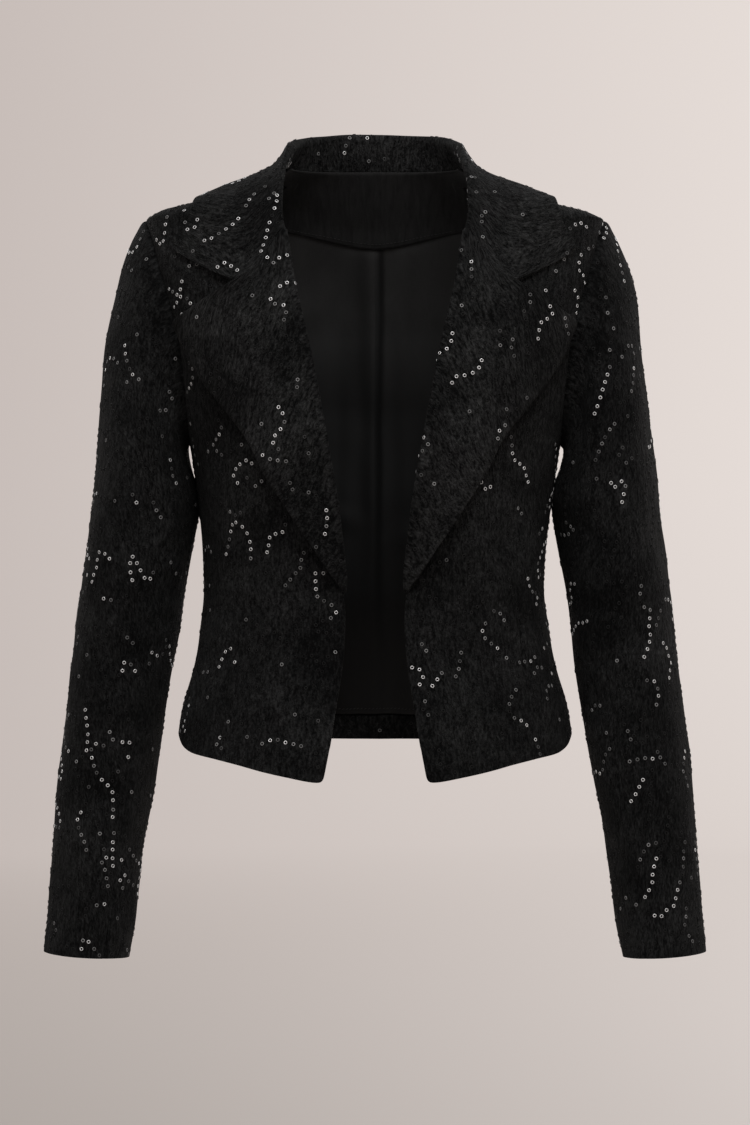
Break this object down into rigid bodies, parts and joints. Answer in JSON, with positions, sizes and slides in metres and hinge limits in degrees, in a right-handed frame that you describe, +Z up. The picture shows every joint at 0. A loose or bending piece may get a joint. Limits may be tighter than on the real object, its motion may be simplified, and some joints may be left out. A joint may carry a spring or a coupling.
{
  "type": "blazer",
  "caption": "Cropped open-front blazer with notched collar, long sleeves and a lined back, held out to its full hollow form.",
  "frame": {"origin": "middle of the neck opening at the height of the side neck, where the garment is held out", "axes": "+Z up, the open front faces -Y, +X is the wearer's left"},
  "size_m": [0.5604, 0.2415, 0.7071],
  "materials": {
    "knit": "crinkled black knit with small sequins",
    "plain_black": "plain black woven",
    "lining": "smooth black satin lining"
  },
  "bodies": {
    "root": {"back": "knit", "front_left": "knit", "front_right": "knit", "facing_left": "knit", "facing_right": "knit", "collar": "knit", "neck_facing": "plain_black", "lining_back": "lining", "sleeve_upper_left": "knit", "sleeve_upper_right": "knit", "sleeve_under_left": "knit", "sleeve_under_right": "knit"}
  },
  "joints": []
}
